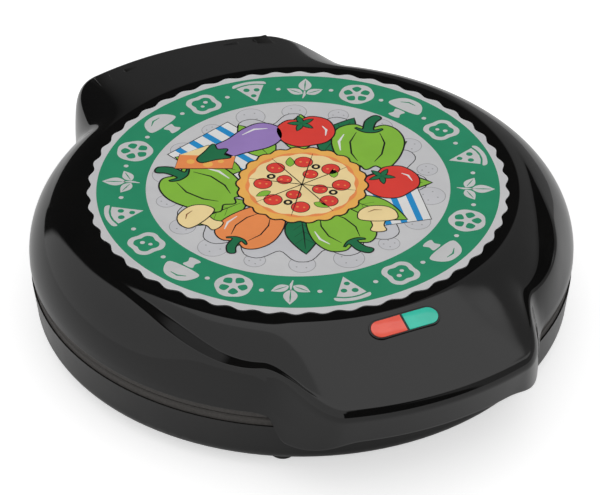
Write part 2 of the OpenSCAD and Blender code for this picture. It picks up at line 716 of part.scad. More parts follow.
bulb_gap = 0.8;                              // gap from a lamp's tip to its lens
bulb_from = lens_back - bulb_gap - bulb_l;
holder_floor = 1.5;                          // floor of the holder under the lamps
holder_from = min(bulb_from, bezel_back - bulb_d) - holder_floor;
holder_t = bezel_back - holder_from;
module lamp_holder() {
    color("ivory") at_lamps() translate([0, 0, holder_from]) difference() {
        linear_extrude(holder_t) slot_2d(lamp_l, lamp_w);
        for (s = [-1, 1]) translate([s * bulb_x, 0, 0]) {
            translate([0, 0, bulb_from - holder_from])
                cylinder(d = bulb_d + 2 * fit, h = holder_t + over, $fn = small_fn);
            translate([0, 0, -over])
                cylinder(d = lead_d + 2 * fit, h = holder_t + 2 * over, $fn = small_fn);
        }
    }
}
module bulb(side) {
    at_lamps() translate([side * bulb_x, 0, bulb_from]) {
        cylinder(d = bulb_d, h = bulb_l - bulb_d / 2, $fn = small_fn);
        translate([0, 0, bulb_l - bulb_d / 2]) sphere(d = bulb_d, $fn = small_fn);
    }
}
module power_lamp() {
    color("orange") bulb(-1);
}
module ready_lamp() {
    color("palegreen") bulb(1);
}
module upper_plate() {
    color(coating) difference() {
        flip_up(z_open) cast_plate();
        at_bracket_screws()
            cylinder(r = small_screw_d / 2 + pin_fit, h = 2 * bite, center = true, $fn = small_fn);
    }
}
module upper_heater() {
    color(metal) flip_up(z_up_heater) heating_element();
}
module upper_heat_shield() {
    color(metal) difference() {
        flip_up(z_up_post) heat_shield();
        translate([thermostat_at[0], thermostat_at[1], z_up_post - over])
            cylinder(d = thermostat_d + 2 * shield_hole, h = 2 * over + shield_t, $fn = 48);
        translate([fuse_lead_x, fuse_at[1], z_up_post - over])
            cylinder(d = lead_d + 2 * shield_hole, h = 2 * over + shield_t, $fn = small_fn);
    }
}
module upper_plate_screws() {
    color(metal) at_posts() flip_up(z_pad - recess_d)
        screw(screw_d, screw_head_d, screw_head_h, z_pad - recess_d - z_up_post + post_h - end_gap);
}

// Thermostat, fuse and their bracket screws sit on the upper plate's back
z_back = z_open + plate_back;
bracket_t = 1;
bite = 2.2;                                  // depth of the bracket screws in the plate
thermostat_at = [-34, -16];
thermostat_span = 24;                        // distance between the thermostat's two screws
ear_d = 8;
fuse_at = [34, -16];
fuse_off = 9;                                // fuse clip's screw beside the fuse
module at_bracket_screws() {
    for (s = [-1, 1]) translate([thermostat_at[0] + s * thermostat_span / 2, thermostat_at[1], z_back])
        children();
    translate([fuse_at[0], fuse_at[1] + fuse_off, z_back]) children();
}
blade_size = [0.8, 6.3, 7];
blade_gap = 4;                               // distance of each blade from the thermostat's middle
module thermostat() {
    color(metal) translate([thermostat_at[0], thermostat_at[1], z_back]) {
        difference() {
            linear_extrude(bracket_t) slot_2d(thermostat_span + ear_d, ear_d);
            for (s = [-1, 1]) translate([s * thermostat_span / 2, 0, -over])
                cylinder(d = small_screw_d + 2 * shank_gap, h = 2 * over + bracket_t, $fn = small_fn);
        }
        cylinder(d = thermostat_d, h = bracket_t + thermostat_h, $fn = 48);
        for (s = [-1, 1])
            translate([s * blade_gap - blade_size[0] / 2, -blade_size[1] / 2,
                bracket_t + thermostat_h - eps]) cube(blade_size);
    }
}
fuse_z = z_back + bracket_t + fuse_d / 2;
fuse_wire = 5;
lead_bend = 3;                               // from the fuse's wire to where its lead turns up
fuse_lead_x = fuse_at[0] + fuse_l / 2 + fuse_wire + lead_bend;
module thermal_fuse() {
    color("gainsboro") translate([fuse_at[0], fuse_at[1], 0]) {
        along_x(-fuse_l / 2, fuse_l / 2, 0, fuse_z, fuse_d);
        along_x(-fuse_l / 2 - fuse_wire, fuse_l / 2 + fuse_wire, 0, fuse_z, 1, 16);
    }
}
module fuse_clip() {
    strap = 8;
    strap_t = 0.8;
    color(metal) difference() {
        union() {
            translate([fuse_at[0] - strap / 2, fuse_at[1] - fuse_d / 2 - strap_t, z_back])
                cube([strap, fuse_off + ear_d / 2 + fuse_d / 2 + strap_t, bracket_t]);
            along_x(fuse_at[0] - strap / 2, fuse_at[0] + strap / 2, fuse_at[1], fuse_z,
                fuse_d + 2 * strap_t + 2 * fit);
        }
        along_x(fuse_at[0] - strap, fuse_at[0] + strap, fuse_at[1], fuse_z, fuse_d + 2 * fit);
        translate([fuse_at[0], fuse_at[1], z_back - strap]) cube(2 * strap, center = true);
        at_bracket_screws()
            cylinder(d = small_screw_d + 2 * shank_gap, h = strap, center = true, $fn = small_fn);
    }
}
module bracket_screws() {
    color(metal) at_bracket_screws() flip_up(bracket_t)
        screw(small_screw_d, 1.8 * small_screw_d, small_screw_d / 2, bracket_t + bite - end_gap);
}
lead_step = 6;                               // sideways steps of the lead that leaves the thermostat
lead_run = 14;                               // straight run of the leads in front of the lamp holder
lead_clear = 2.5;                            // room between the leads' ends and the lamp window
module lid_leads() {
    // Two leads over the shield, from the thermostat's blade and the fuse to the lamp holder
    z_run = z_up_post + shield_t + lead_bead * lead_d / 2 + lead_gap;
    z_blade = z_back + bracket_t + thermostat_h + blade_size[2] / 2;
    y_end = -lamp_r + lamp_w / 2 + lead_clear;
    blade_x = thermostat_at[0] - blade_gap - blade_size[0] / 2 - lead_gap;
    color("firebrick") {
        lead([[blade_x, thermostat_at[1], z_blade], [blade_x - lead_step, thermostat_at[1], z_blade],
            [blade_x - 2 * lead_step, thermostat_at[1] - lead_step, z_run],
            [-bulb_x, y_end + lead_run, z_run], [-bulb_x, y_end, z_run]], lead_d);
        lead([[fuse_lead_x - lead_bend + lead_gap, fuse_at[1], fuse_z],
            [fuse_lead_x, fuse_at[1], fuse_z], [fuse_lead_x, fuse_at[1], z_run],
            [bulb_x, y_end + lead_run, z_run], [bulb_x, y_end, z_run]], lead_d);
    }
}

framed() base_shell();
framed() lower_plate();
framed() lower_heater();
framed() lower_heat_shield();
framed() lower_plate_screws();
framed() feet();
framed() cord_gland();
framed() terminal_block();
framed() terminal_screws();
framed() base_leads();
framed() hinge_pins();
framed() lid_shell();
framed() badge_disc();
framed() lamp_bezel();
framed() power_lens();
framed() ready_lens();
framed() lamp_holder();
framed() power_lamp();
framed() ready_lamp();
framed() upper_plate();
framed() upper_heater();
framed() upper_heat_shield();
framed() upper_plate_screws();
framed() thermostat();
framed() thermal_fuse();
framed() fuse_clip();
framed() bracket_screws();
framed() lid_leads();
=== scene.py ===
"""Electric pizza maker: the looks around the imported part.

Lengths are in metres in the part's own frame: front (grip and lamps) at -Y, hinge at +Y, up +Z.
"""
import json
import math

import bmesh
import bpy
import numpy as np
from mathutils import Matrix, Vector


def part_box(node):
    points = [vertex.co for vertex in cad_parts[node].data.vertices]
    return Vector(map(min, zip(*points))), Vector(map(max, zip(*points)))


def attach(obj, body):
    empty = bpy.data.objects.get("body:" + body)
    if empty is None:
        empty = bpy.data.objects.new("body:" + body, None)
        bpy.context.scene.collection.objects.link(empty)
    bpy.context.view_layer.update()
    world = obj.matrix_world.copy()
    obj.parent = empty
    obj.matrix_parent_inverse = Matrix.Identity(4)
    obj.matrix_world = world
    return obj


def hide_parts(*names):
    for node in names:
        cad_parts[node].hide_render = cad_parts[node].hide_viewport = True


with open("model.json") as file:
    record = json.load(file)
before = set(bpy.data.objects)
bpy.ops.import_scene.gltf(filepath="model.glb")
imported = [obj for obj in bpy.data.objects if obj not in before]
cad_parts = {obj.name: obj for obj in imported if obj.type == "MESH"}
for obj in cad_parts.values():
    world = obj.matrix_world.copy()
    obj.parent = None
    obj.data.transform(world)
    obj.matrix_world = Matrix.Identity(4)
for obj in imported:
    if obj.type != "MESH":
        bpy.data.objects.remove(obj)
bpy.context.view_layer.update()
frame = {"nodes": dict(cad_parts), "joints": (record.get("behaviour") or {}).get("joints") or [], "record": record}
nodes = frame["nodes"]

MM = 0.001

# ---- Camera: the photograph's view, solved from the badge's even scallops ------------------------
CAMERA_AT = (-0.5716, -1.25195, 1.04324)
CAMERA_AXES = (
    (0.90818662, -0.41855473, -0.00299843),      # to the right
    (0.24962756, 0.53586783, 0.80655549),        # up
    (-0.33598086, -0.73325139, 0.59115079),      # backwards
)
LENS_MM = 166.206
SENSOR_MM = 36

# Level directions seen from the camera, for the studio's reflections
HEADING = (0.4147, 0.9100, 0)
RIGHT = (0.9100, -0.4147, 0)


def make_camera():
    data = bpy.data.cameras.new("camera")
    data.lens = LENS_MM
    data.sensor_width = SENSOR_MM
    data.clip_end = 50
    camera = bpy.data.objects.new("camera", data)
    axes = Matrix(CAMERA_AXES).transposed().to_4x4()
    camera.matrix_world = Matrix.Translation(CAMERA_AT) @ axes
    bpy.context.scene.collection.objects.link(camera)
    bpy.context.scene.camera = camera


# ---- Node helpers ---------------------------------------------------------------------------------
class Tree:
    """A few short names for building a node tree."""

    def __init__(self, tree):
        self.tree = tree

    def node(self, kind, **settings):
        made = self.tree.nodes.new("ShaderNode" + kind)
        for key, value in settings.items():
            setattr(made, key, value)
        return made

    def link(self, out, into):
        self.tree.links.new(out, into)

    def math(self, operation, a, b):
        made = self.node("Math", operation=operation)
        for socket, value in zip(made.inputs, (a, b)):
            if isinstance(value, (int, float)):
                socket.default_value = value
            else:
                self.link(value, socket)
        return made.outputs[0]

    def ramp(self, value, low, high, to_low=0.0, to_high=1.0):
        """value moved from low..high to to_low..to_high, eased at both ends."""
        made = self.node("MapRange", interpolation_type="SMOOTHSTEP")
        self.link(value, made.inputs["Value"])
        for name, number in (("From Min", low), ("From Max", high), ("To Min", to_low), ("To Max", to_high)):
            made.inputs[name].default_value = number
        return made.outputs[0]

    def noise(self, where, scale, detail=3.0, roughness=0.5):
        made = self.node("TexNoise")
        made.inputs["Scale"].default_value = scale
        made.inputs["Detail"].default_value = detail
        made.inputs["Roughness"].default_value = roughness
        self.link(where, made.inputs["Vector"])
        return made.outputs["Fac"]

    def mix(self, factor, a, b):
        made = self.node("Mix", data_type="RGBA")
        self.link(factor, made.inputs[0])
        for socket, value in ((made.inputs[6], a), (made.inputs[7], b)):
            if isinstance(value, tuple):
                socket.default_value = (*value, 1)
            else:
                self.link(value, socket)
        return made.outputs[2]


# ---- Studio: pale floor, soft cards overhead and at the sides --------------------------------------
def card(t, u, v, u_range, v_range, soft):
    """1 inside a soft-edged rectangle of the directions (u, v), 0 outside."""
    mask = None
    for value, (low, high) in ((u, u_range), (v, v_range)):
        for side in (t.ramp(value, low - soft, low + soft), t.ramp(value, high - soft, high + soft, 1, 0)):
            mask = side if mask is None else t.math("MULTIPLY", mask, side)
    return mask


# (u range, v range, edge softness, strength): cards on the ceiling, where u and v are distances to
# the camera's right and ahead of it, for a ceiling at height 1
CEILING_CARDS = [
    ((-0.32, 0.95), (0.25, 0.62), 0.03, 1.42),
    ((-0.95, 0.12), (-0.75, 0.62), 0.03, 1.05),
]
# The same for cards on the walls, by angle to the right of the heading and by sine of the elevation
WALL_CARDS = [
    ((-184, -47), (-0.60, 0.97), 0.02, 1.05),
    ((10, 122), (-0.60, 0.93), 0.03, 0.42),
    ((-12, 14), (-0.60, 0.42), 0.03, 0.16),
]
WALL_UNIT = 90                                   # degrees of bearing that the edge softness is given in
HORIZON = 0.02, 0.06                             # sines of the elevation between which the ceiling begins
FILL = 0.03                                      # radiance of the dark parts of the studio
SOFT_LIGHT = 1.0                                 # even light that falls on matt surfaces
FLOOR_SIZE = 14
FLOOR_GREY = 0.80
FLOOR_ROUGHNESS = 0.9
FLOOR_LIFT = 0.55                                # what brings the pale floor up to the white background
FLOOR_LIFT_IN_GLOSS = 0.06


def make_world():
    world = bpy.data.worlds.new("studio")
    bpy.context.scene.world = world
    world.use_nodes = True
    world.node_tree.nodes.clear()
    t = Tree(world.node_tree)
    direction = t.node("TexCoord").outputs["Generated"]

    def along(axis):
        dot = t.node("VectorMath", operation="DOT_PRODUCT")
        t.link(direction, dot.inputs[0])
        dot.inputs[1].default_value = axis
        return dot.outputs["Value"]

    ahead, right, up = along(HEADING), along(RIGHT), along((0, 0, 1))
    height = t.math("MAXIMUM", up, HORIZON[0] / 2)
    u = t.math("DIVIDE", right, height)
    v = t.math("DIVIDE", ahead, height)
    bearing = t.math("MULTIPLY", t.math("ARCTAN2", right, ahead), 180 / math.pi)
    above = t.ramp(up, *HORIZON)
    total = FILL
    for u_range, v_range, soft, strength in CEILING_CARDS:
        mask = t.math("MULTIPLY", above, card(t, u, v, u_range, v_range, soft))
        total = t.math("MAXIMUM", t.math("MULTIPLY", mask, strength), total)
    around = t.math("DIVIDE", bearing, WALL_UNIT)
    for bearings, sines, soft, strength in WALL_CARDS:
        mask = card(t, around, up, [degrees / WALL_UNIT for degrees in bearings], sines, soft)
        total = t.math("MAXIMUM", t.math("MULTIPLY", mask, strength), total)
    lit = t.node("Background")
    t.link(total, lit.inputs["Strength"])
    even = t.node("Background")
    even.inputs["Strength"].default_value = SOFT_LIGHT
    # Gloss and glass reflect the cards, matt surfaces and the camera get the even white
    path = t.node("LightPath")
    sharp = t.math("MAXIMUM", path.outputs["Is Glossy Ray"], path.outputs["Is Transmission Ray"])
    shown = t.node("MixShader")
    t.link(sharp, shown.inputs[0])
    t.link(even.outputs[0], shown.inputs[1])
    t.link(lit.outputs[0], shown.inputs[2])
    t.link(shown.outputs[0], t.node("OutputWorld").inputs["Surface"])


def make_floor():
    half = FLOOR_SIZE / 2
    corners = [(-half, -half, 0), (half, -half, 0), (half, half, 0), (-half, half, 0)]
    mesh = bpy.data.meshes.new("floor")
    mesh.from_pydata(corners, [], [(0, 1, 2, 3)])
    floor = bpy.data.objects.new("floor", mesh)
    bpy.context.scene.collection.objects.link(floor)
    material = bpy.data.materials.new("floor")
    material.use_nodes = True
    t = Tree(material.node_tree)
    paint = t.tree.nodes["Principled BSDF"]
    paint.inputs["Base Color"].default_value = (FLOOR_GREY, FLOOR_GREY, FLOOR_GREY, 1)
    paint.inputs["Roughness"].default_value = FLOOR_ROUGHNESS
    paint.inputs["Specular IOR Level"].default_value = 0
    # What the camera and glass see of the floor is lifted to the white background, and gloss sees it a
    # little lifted
    path = t.node("LightPath")
    seen = t.math("MAXIMUM", path.outputs["Is Camera Ray"], path.outputs["Is Transmission Ray"])
    paint.inputs["Emission Color"].default_value = (1, 1, 1, 1)
    in_gloss = t.math("MULTIPLY", path.outputs["Is Glossy Ray"], FLOOR_LIFT_IN_GLOSS)
    t.link(t.math("ADD", t.math("MULTIPLY", seen, FLOOR_LIFT), in_gloss), paint.inputs["Emission Strength"])
    mesh.materials.append(material)


# ---- Materials -------------------------------------------------------------------------------------
def finish_of(name, colour, second, roughness, metallic=0.0, patch=40.0, grain=900.0, bump=0.00002,
              rough_spread=0.04, coat=0.0, **sockets):
    """A surface with two shades in soft patches, uneven gloss and a fine grain. Patch and grain are
    repeats per metre, bump is the grain's height in metres, and sockets are further inputs of the
    Principled BSDF by name."""
    material = bpy.data.materials.new(name)
    material.use_nodes = True
    t = Tree(material.node_tree)
    surface = t.tree.nodes["Principled BSDF"]
    where = t.node("TexCoord").outputs["Object"]
    t.link(t.mix(t.ramp(t.noise(where, patch), 0.3, 0.7), colour, second), surface.inputs["Base Color"])
    smears = t.noise(where, patch * 2.3, 5.0)
    least, most = roughness - rough_spread, roughness + rough_spread
    t.link(t.ramp(smears, 0.25, 0.75, least, most), surface.inputs["Roughness"])
    surface.inputs["Metallic"].default_value = metallic
    surface.inputs["Coat Weight"].default_value = coat
    surface.inputs["Coat Roughness"].default_value = 0.05
    for socket, value in sockets.items():
        surface.inputs[socket.replace("_", " ")].default_value = value
    relief = t.node("Bump")
    relief.inputs["Strength"].default_value = 1
    relief.inputs["Distance"].default_value = bump
    t.link(t.noise(where, grain, 4.0, 0.6), relief.inputs["Height"])
    t.link(relief.outputs["Normal"], surface.inputs["Normal"])
    return material


def make_materials():
    """The finish of each of the record's material slots, and the gloss of the outer housing."""
    return {
        "gloss": finish_of("gloss_black", (0.0030, 0.0030, 0.0030), (0.0040, 0.0038, 0.0036), 0.07,
                           patch=25, grain=350, bump=0.0000015, rough_spread=0.015),
        "housing": finish_of("satin_black", (0.006, 0.006, 0.006), (0.008, 0.0076, 0.0072), 0.24,
                             patch=30, grain=1400, bump=0.000006, rough_spread=0.03),
        "nonstick": finish_of("nonstick_coating", (0.042, 0.038, 0.035), (0.060, 0.055, 0.050), 0.62,
                              patch=900, grain=1500, bump=0.00006),
        "element": finish_of("element_sheath", (0.22, 0.20, 0.19), (0.33, 0.31, 0.30), 0.42, 1.0,
                             patch=120, grain=800, bump=0.00001),
        "shield": finish_of("bright_sheet", (0.74, 0.74, 0.75), (0.66, 0.66, 0.68), 0.32, 1.0,
                            patch=60, grain=500, bump=0.000004),
        "screw": finish_of("zinc", (0.58, 0.58, 0.57), (0.50, 0.50, 0.52), 0.35, 1.0,
                           patch=300, grain=2000, bump=0.000006),
        "pin": finish_of("ground_steel", (0.55, 0.55, 0.56), (0.48, 0.48, 0.49), 0.25, 1.0,
                         patch=200, grain=2500, bump=0.000003),
        "rubber": finish_of("rubber", (0.020, 0.020, 0.020), (0.032, 0.031, 0.030), 0.75,
                            patch=250, grain=2500, bump=0.00003),
        "ceramic": finish_of("pale_ceramic", (0.80, 0.78, 0.70), (0.72, 0.69, 0.60), 0.55,
                             patch=180, grain=1800, bump=0.00002),
        "lamp": finish_of("lamp_glass", (0.95, 0.72, 0.55), (0.90, 0.60, 0.42), 0.08,
                          patch=200, grain=900, bump=0.000002, Transmission_Weight=0.8),
        "lead": finish_of("lead_sleeve", (0.50, 0.07, 0.04), (0.40, 0.05, 0.03), 0.6,
                          patch=300, grain=2200, bump=0.00004),
        "red_lens": finish_of("red_lens", (1.00, 0.145, 0.095), (0.94, 0.12, 0.08), 0.12,
                              patch=90, grain=600, bump=0.000004, rough_spread=0.03, coat=0.3,
                              Transmission_Weight=0.02),
        "green_lens": finish_of("green_lens", (0.036, 0.66, 0.48), (0.030, 0.58, 0.42), 0.12,
                                patch=90, grain=600, bump=0.000004, rough_spread=0.03, coat=0.3,
                                Transmission_Weight=0.02),
        "badge": finish_of("badge_silver", (0.82, 0.82, 0.83), (0.78, 0.78, 0.795), 0.36, 0.25,
                           patch=45, grain=1600, bump=0.000004, rough_spread=0.03),
    }


# ---- Mesh helpers ----------------------------------------------------------------------------------
def piece(name, body, mesh, slot_name, *materials):
    obj = bpy.data.objects.new(name, mesh)
    bpy.context.scene.collection.objects.link(obj)
    for material in materials:
        mesh.materials.append(material)
    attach(obj, body)
    return obj


def smooth(mesh, degrees):
    mesh.polygons.foreach_set("use_smooth", [True] * len(mesh.polygons))
    mesh.set_sharp_from_angle(angle=math.radians(degrees))


def baked(obj):
    """The object's mesh with its modifiers, or a curve as a mesh, with the object itself removed."""
    graph = bpy.context.evaluated_depsgraph_get()
    mesh = bpy.data.meshes.new_from_object(obj.evaluated_get(graph))
    bpy.data.objects.remove(obj)
    return mesh


def slab(outlines, thickness, bevel=0.0):
    """A mesh of flat outlines, holes among them, that is thick up and down round z = 0."""
    curve = bpy.data.curves.new("slab", "CURVE")
    curve.dimensions = "2D"
    curve.fill_mode = "BOTH"
    curve.extrude = thickness / 2 - bevel
    curve.bevel_depth = bevel
    curve.bevel_resolution = 2
    curve.offset = -bevel
    for outline in outlines:
        spline = curve.splines.new("POLY")
        spline.points.add(len(outline) - 1)
        spline.points.foreach_set("co", [c for x, y in outline for c in (x, y, 0, 1)])
        spline.use_cyclic_u = True
    obj = bpy.data.objects.new("slab", curve)
    bpy.context.scene.collection.objects.link(obj)
    return baked(obj)


def circle(radius, x=0.0, y=0.0, count=36):
    angles = [2 * math.pi * i / count for i in range(count)]
    return [(x + radius * math.cos(angle), y + radius * math.sin(angle)) for angle in angles]


def joined(meshes):
    """One mesh of several (mesh, matrix) pairs."""
    whole = bmesh.new()
    for mesh, matrix in meshes:
        mesh.transform(matrix)
        whole.from_mesh(mesh)
    result = bpy.data.meshes.new("joined")
    whole.to_mesh(result)
    whole.free()
    return result


# ---- Sizes of the housing, from the frame and from the part's own driving sizes --------------------
plate_low, plate_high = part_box("lower_plate")
badge_low, badge_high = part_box("badge_disc")
BODY_Y = (plate_low[1] + plate_high[1]) / 2
BODY_R = (plate_high[0] - plate_low[0]) / 2 + 1.5 * MM
PAD_Z = badge_low[2]
LID_H = 38.9 * MM
SHOULDER_W = 32 * MM
PAD_BACK = 4.5 * MM
SKIRT_H = 4.5 * MM
SHOULDER_ROUND = 0.9
CREASE_SINK = 0.35                               # share of the crease's step that the tongue sinks by
WALL = 2.6 * MM
GRIP = dict(reach=27 * MM, drop=17.3 * MM, nose=4 * MM, nose_h=6.2 * MM, under=6 * MM)
TAB = dict(reach=40 * MM, drop=14.5 * MM, nose=6 * MM, nose_h=10 * MM, under=1.5 * MM)
GRIP_ANGLE, GRIP_FLARE = 17, 16
TAB_ANGLE, TAB_FLARE = 17, 20
CHEEK_DEPTH, CHEEK_RISE = 14.5 * MM, 10 * MM
CHEEK_IN, CHEEK_FROM, CHEEK_TO = 14, 28, 31.5
PAD_R = BODY_R - SHOULDER_W
SKIRT_Z = PAD_Z - LID_H
SHOULDER_Z = SKIRT_Z + SKIRT_H
LAMP_R = PAD_R + 6 * MM
LAMP_L, LAMP_W = 44 * MM, 14 * MM
LAMP_FIT = 0.2 * MM
HINGE_Y = BODY_R + 15 * MM
HINGE_Z = frame["joints"][0]["pos_m"][2]
HINGE_X = 46 * MM
EYE_R, EYE_W, EYE_PLAY, EYE_BORE = 8 * MM, 10 * MM, 0.4 * MM, 3.05 * MM
POST_AT, POST_R, POST_BORE = 92 * MM, 6 * MM, 2.2 * MM
LINER_IN = 0.4 * MM                              # the liner's distance inside both faces of the wall
LAST_ROW = 8
SHOULDER_ROWS = 7
TONGUE_ROWS = 3
NOSE_ROWS = 2
NOSE_FOOT = TONGUE_ROWS + NOSE_ROWS


# ---- Lid surface: the round shoulder, the grip and the tab, blended as in the part ------------------
# An angle a is in degrees from the front. A row k runs from 0 at the pad's edge to LAST_ROW at the
# lid's lower edge: down the tongue's slope, round the nose to NOSE_FOOT, and on down from there.
def ease(a, b, t):
    u = np.clip((t - a) / (b - a), 0, 1)
    return u * u * (3 - 2 * u)


def edge_z(a):
    return (SKIRT_Z - CHEEK_DEPTH * (1 - ease(CHEEK_FROM, CHEEK_TO, a))
            + CHEEK_RISE * (1 - ease(CHEEK_IN, CHEEK_FROM - 1, a)))


def side_profile(k, a):
    u = np.clip(k / SHOULDER_ROWS, 0, 1)
    across = SHOULDER_ROUND * np.sin(math.pi / 2 * u) + (1 - SHOULDER_ROUND) * u
    down = SHOULDER_ROUND * np.cos(math.pi / 2 * u) + (1 - SHOULDER_ROUND) * (1 - u)
    low = np.clip(k - SHOULDER_ROWS, 0, 1)
    z = SHOULDER_Z + (PAD_Z - SHOULDER_Z) * down
    return PAD_R + (BODY_R - PAD_R) * across, z + (edge_z(a) - SHOULDER_Z) * low


def reach_profile(k, a, reach, drop, nose, nose_h, under):
    slope = np.clip(k / TONGUE_ROWS, 0, 1)
    turn = math.pi / 2 * np.clip((k - TONGUE_ROWS) / NOSE_ROWS, 0, 1)
    low = np.clip((k - NOSE_FOOT) / (LAST_ROW - NOSE_FOOT), 0, 1)
    z_nose = PAD_Z - drop - nose_h
    r = PAD_R + (BODY_R + reach - nose - PAD_R) * slope + nose * np.sin(turn) - under * low
    return r, PAD_Z - drop * slope - nose_h * (1 - np.cos(turn)) + (edge_z(a) - z_nose) * low


def lid_profile(k, a):
    late = np.maximum(0, k - NOSE_FOOT) / (LAST_ROW - NOSE_FOOT)
    grip = ((1 - ease(GRIP_ANGLE, GRIP_ANGLE + GRIP_FLARE, a)) * (1 - late)
            + (1 - ease(GRIP_ANGLE + 1, GRIP_ANGLE + GRIP_FLARE + 2, a)) * late)
    tab = 1 - ease(TAB_ANGLE, TAB_ANGLE + TAB_FLARE, 180 - a)
    side, front, back = side_profile(k, a), reach_profile(k, a, **GRIP), reach_profile(k, a, **TAB)
    return [s * (1 - grip - tab) + f * grip + b * tab for s, f, b in zip(side, front, back)]


# The crease's row, and the width of its level floor in millimetres, at angles from the front
CREASE_ANGLES = (17, 20, 22, 24.5, 29.5, 35.5, 41, 46, 49, 55, 61.5, 68.5, 76.5, 84)
CREASE_ROWS = (2.9, 2.9, 2.9, 3.0, 3.6, 3.8, 3.6, 3.1, 2.75, 2.1, 1.5, 1.15, 1.0, 0.95)
CREASE_WIDTHS = (0, 0.2, 0.8, 2.2, 5.4, 7.6, 8.8, 10.2, 10.6, 9.2, 6.6, 3.6, 1.4, 0)
CREASE_TILT = -0.05                              # slope of its floor, which rises a little outwards
CREASE_TURN = 2                                  # degrees to each side over which its course is evened out
CREASE_FADES = 2.2, 6.4                          # rows beyond it, and row at least, where its bulge has gone
LEAST_WIDTH = 0.05 * MM
NOSE_END = 6                                     # row up to which the outline only runs outwards
FILLET = 0.7 * MM                                # spread of the smoothing that rounds sharp profile corners
SAMPLE = 0.1 * MM
PAD_RIM = 9 * MM                                 # width of the flat pad that the profile starts with


def crease_at(a):
    """The crease's row and floor width, with the corners of their few given points rounded off."""
    near = a + np.linspace(-CREASE_TURN, CREASE_TURN, 9)
    row, width = (np.interp(near, CREASE_ANGLES, given).mean() for given in (CREASE_ROWS, CREASE_WIDTHS))
    return row, width * MM


def creased(k, r, z, a):
    """Heights with the crease: the tongue's slope ends in a level floor, beyond which the shoulder
    bulges and then runs back into its plain shape by the skirt."""
    row, width = crease_at(a)
    if width < LEAST_WIDTH:
        return z
    middle = np.interp(row, k, r)
    inner, outer = middle - width / 2, middle + width / 2
    top = k < NOSE_END
    z_inner, z_outer = np.interp((inner, outer), r[top], z[top])
    k_inner, k_outer = np.interp((inner, outer), r[top], k[top])
    step = (z_inner - z_outer) - CREASE_TILT * width
    down = CREASE_SINK * step * np.clip(k / k_inner, 0, 1) ** 1.5
    level = (1 - CREASE_SINK) * step
    gone = max(k_outer + CREASE_FADES[0], CREASE_FADES[1])
    beyond = level * (1 - ease(k_outer, gone, k))
    floor = z_inner - CREASE_SINK * step - CREASE_TILT * (r - inner)
    return np.where(k <= k_inner, z - down, np.where(k < k_outer, floor, z + beyond))


def lid_rows(a):
    """Row values of the visual mesh at one station, close together where the profile bends."""
    row = crease_at(a)[0]
    low = min(max(row - 0.9, 0.35), 3.2)
    return np.concatenate([
        low * np.linspace(0, 1, 18, endpoint=False) ** 1.4,
        np.linspace(low, low + 1.9, 40, endpoint=False),
        np.linspace(low + 1.9, LAST_ROW, 34)])


def rounded_profile(a):
    """(r, z, shift) at the visual mesh's rows, with small fillets in place of sharp corners."""
    k = np.linspace(0, LAST_ROW, 1601)
    r, z = lid_profile(k, a)
    z = creased(k, r, z, a)
    r = np.concatenate([[r[0] - PAD_RIM], r])
    z = np.concatenate([[z[0]], z])
    length = np.concatenate([[0], np.cumsum(np.hypot(np.diff(r), np.diff(z)))])
    even = np.arange(0, length[-1], SAMPLE)
    reach = int(4 * FILLET / SAMPLE)
    weights = np.exp(-0.5 * (np.arange(-reach, reach + 1) * SAMPLE / FILLET) ** 2)
    weights /= weights.sum()

    def soften(values):
        line = np.interp(even, length, values)
        first = line[0] - (line[1] - line[0]) * np.arange(reach, 0, -1)
        last = line[-1] + (line[-1] - line[-2]) * np.arange(1, reach + 1)
        return np.convolve(np.concatenate([first, line, last]), weights, "valid")

    rows = lid_rows(a)
    rim = PAD_RIM - np.array([8, 4, 2, 1.2, 0.6, 0.3]) * MM
    at = np.concatenate([rim, np.interp(rows, k, length[1:])])
    rows = np.concatenate([np.zeros(len(rim)), rows])
    shift = PAD_BACK * np.maximum(0, 1 - rows / TONGUE_ROWS)
    return np.interp(at, even, soften(r)), np.interp(at, even, soften(z)), shift


def lid_angles():
    """Stations round the lid as (degrees from the front, side), closest together at the crease."""
    half = np.concatenate([np.arange(0, 14, 1.0), np.arange(14, 40, 0.5), np.arange(40, 90, 1.0),
                           np.arange(90, 140, 1.5), np.arange(140, 180, 1.0)])
    return [(a, 1) for a in half] + [(180.0, 1)] + [(a, -1) for a in half[:0:-1]]


LIP = 0.4 * MM                                   # rounding of the lid's lower edge


def station_line(a):
    """The closed skin's section at one angle: (r, z, shift) out over the pad, down the outside,
    under the lower edge and back up the inside."""
    r, z, shift = rounded_profile(a)
    across = np.gradient(r)
    down = np.gradient(z)
    size = np.hypot(across, down)
    inner_r = r + WALL * down / size
    inner_z = z - WALL * across / size
    keep = np.arange(len(r) - 4, 5, -3)
    foot_r, foot_z = r[-1], z[-1]
    under_r = foot_r - np.array([0.3 * LIP, LIP, WALL - LIP, WALL])
    under_z = foot_z + np.array([0.3 * LIP, 0, 0, LIP])
    lift_last = z.copy()
    lift_last[-1] = foot_z + LIP
    return (np.concatenate([r, under_r, inner_r[keep]]),
            np.concatenate([lift_last, under_z, inner_z[keep]]),
            np.concatenate([shift, np.zeros(4), shift[keep]]))


def at_lamps():
    """The lamp window's place: square to the tongue's slope."""
    tongue_from = PAD_R - PAD_BACK
    tongue_to = BODY_R + GRIP["reach"] - GRIP["nose"]
    tilt = math.atan2(GRIP["drop"], tongue_to - tongue_from)
    z = PAD_Z - (LAMP_R - tongue_from) * math.tan(tilt)
    return Matrix.Translation((0, BODY_Y - LAMP_R, z)) @ Matrix.Rotation(tilt, 4, "X")


def stadium(length, width):
    """A straight slot's outline with round ends."""
    count = 24
    points = []
    for side in (1, -1):
        for i in range(count + 1):
            angle = math.pi * i / count - side * math.pi / 2
            x = side * (length - width) / 2 + width / 2 * math.cos(angle)
            points.append((x, width / 2 * math.sin(angle)))
    return points


